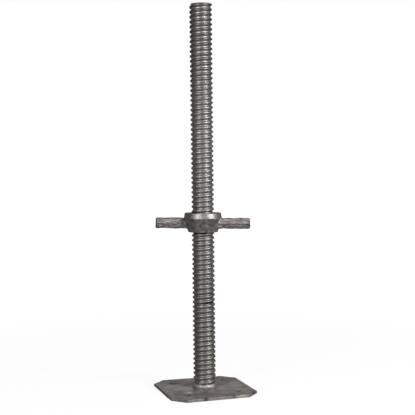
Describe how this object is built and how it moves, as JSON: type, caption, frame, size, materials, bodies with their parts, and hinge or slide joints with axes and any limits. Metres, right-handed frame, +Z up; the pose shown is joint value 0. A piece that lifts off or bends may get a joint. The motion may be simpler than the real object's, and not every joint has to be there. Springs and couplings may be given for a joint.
{
  "type": "scaffold base jack",
  "caption": "Adjustable scaffold base jack: threaded stem welded to a cut-cornered base plate with nail holes, and a cast two-handled nut that sets the height of the tube over it.",
  "frame": {"origin": "middle of the base plate's underside, on the stem's axis", "axes": "+Z up along the stem's axis, towards its cut end; X and Y along the base plate's sides"},
  "size_m": [0.15, 0.15, 0.65],
  "materials": {
    "galvanised_plate": "hot-dip galvanised mild steel plate, dull and slightly uneven",
    "galvanised_thread": "hot-dip galvanised rolled thread, satin to bright on the crests",
    "galvanised_weld": "hot-dip galvanised weld bead, smooth and bright",
    "galvanised_casting": "galvanised ductile iron casting, rough and dull"
  },
  "bodies": {
    "jack_base": {"base_plate": "galvanised_plate", "stem": "galvanised_thread", "foot_weld": "galvanised_weld"},
    "nut": {"nut": "galvanised_casting"}
  },
  "joints": [
    {"name": "nut_travel", "type": "slide", "parent": "jack_base", "child": "nut", "axis": [0, 0, 1], "range_m": [-0.2511, 0.3402]}
  ]
}
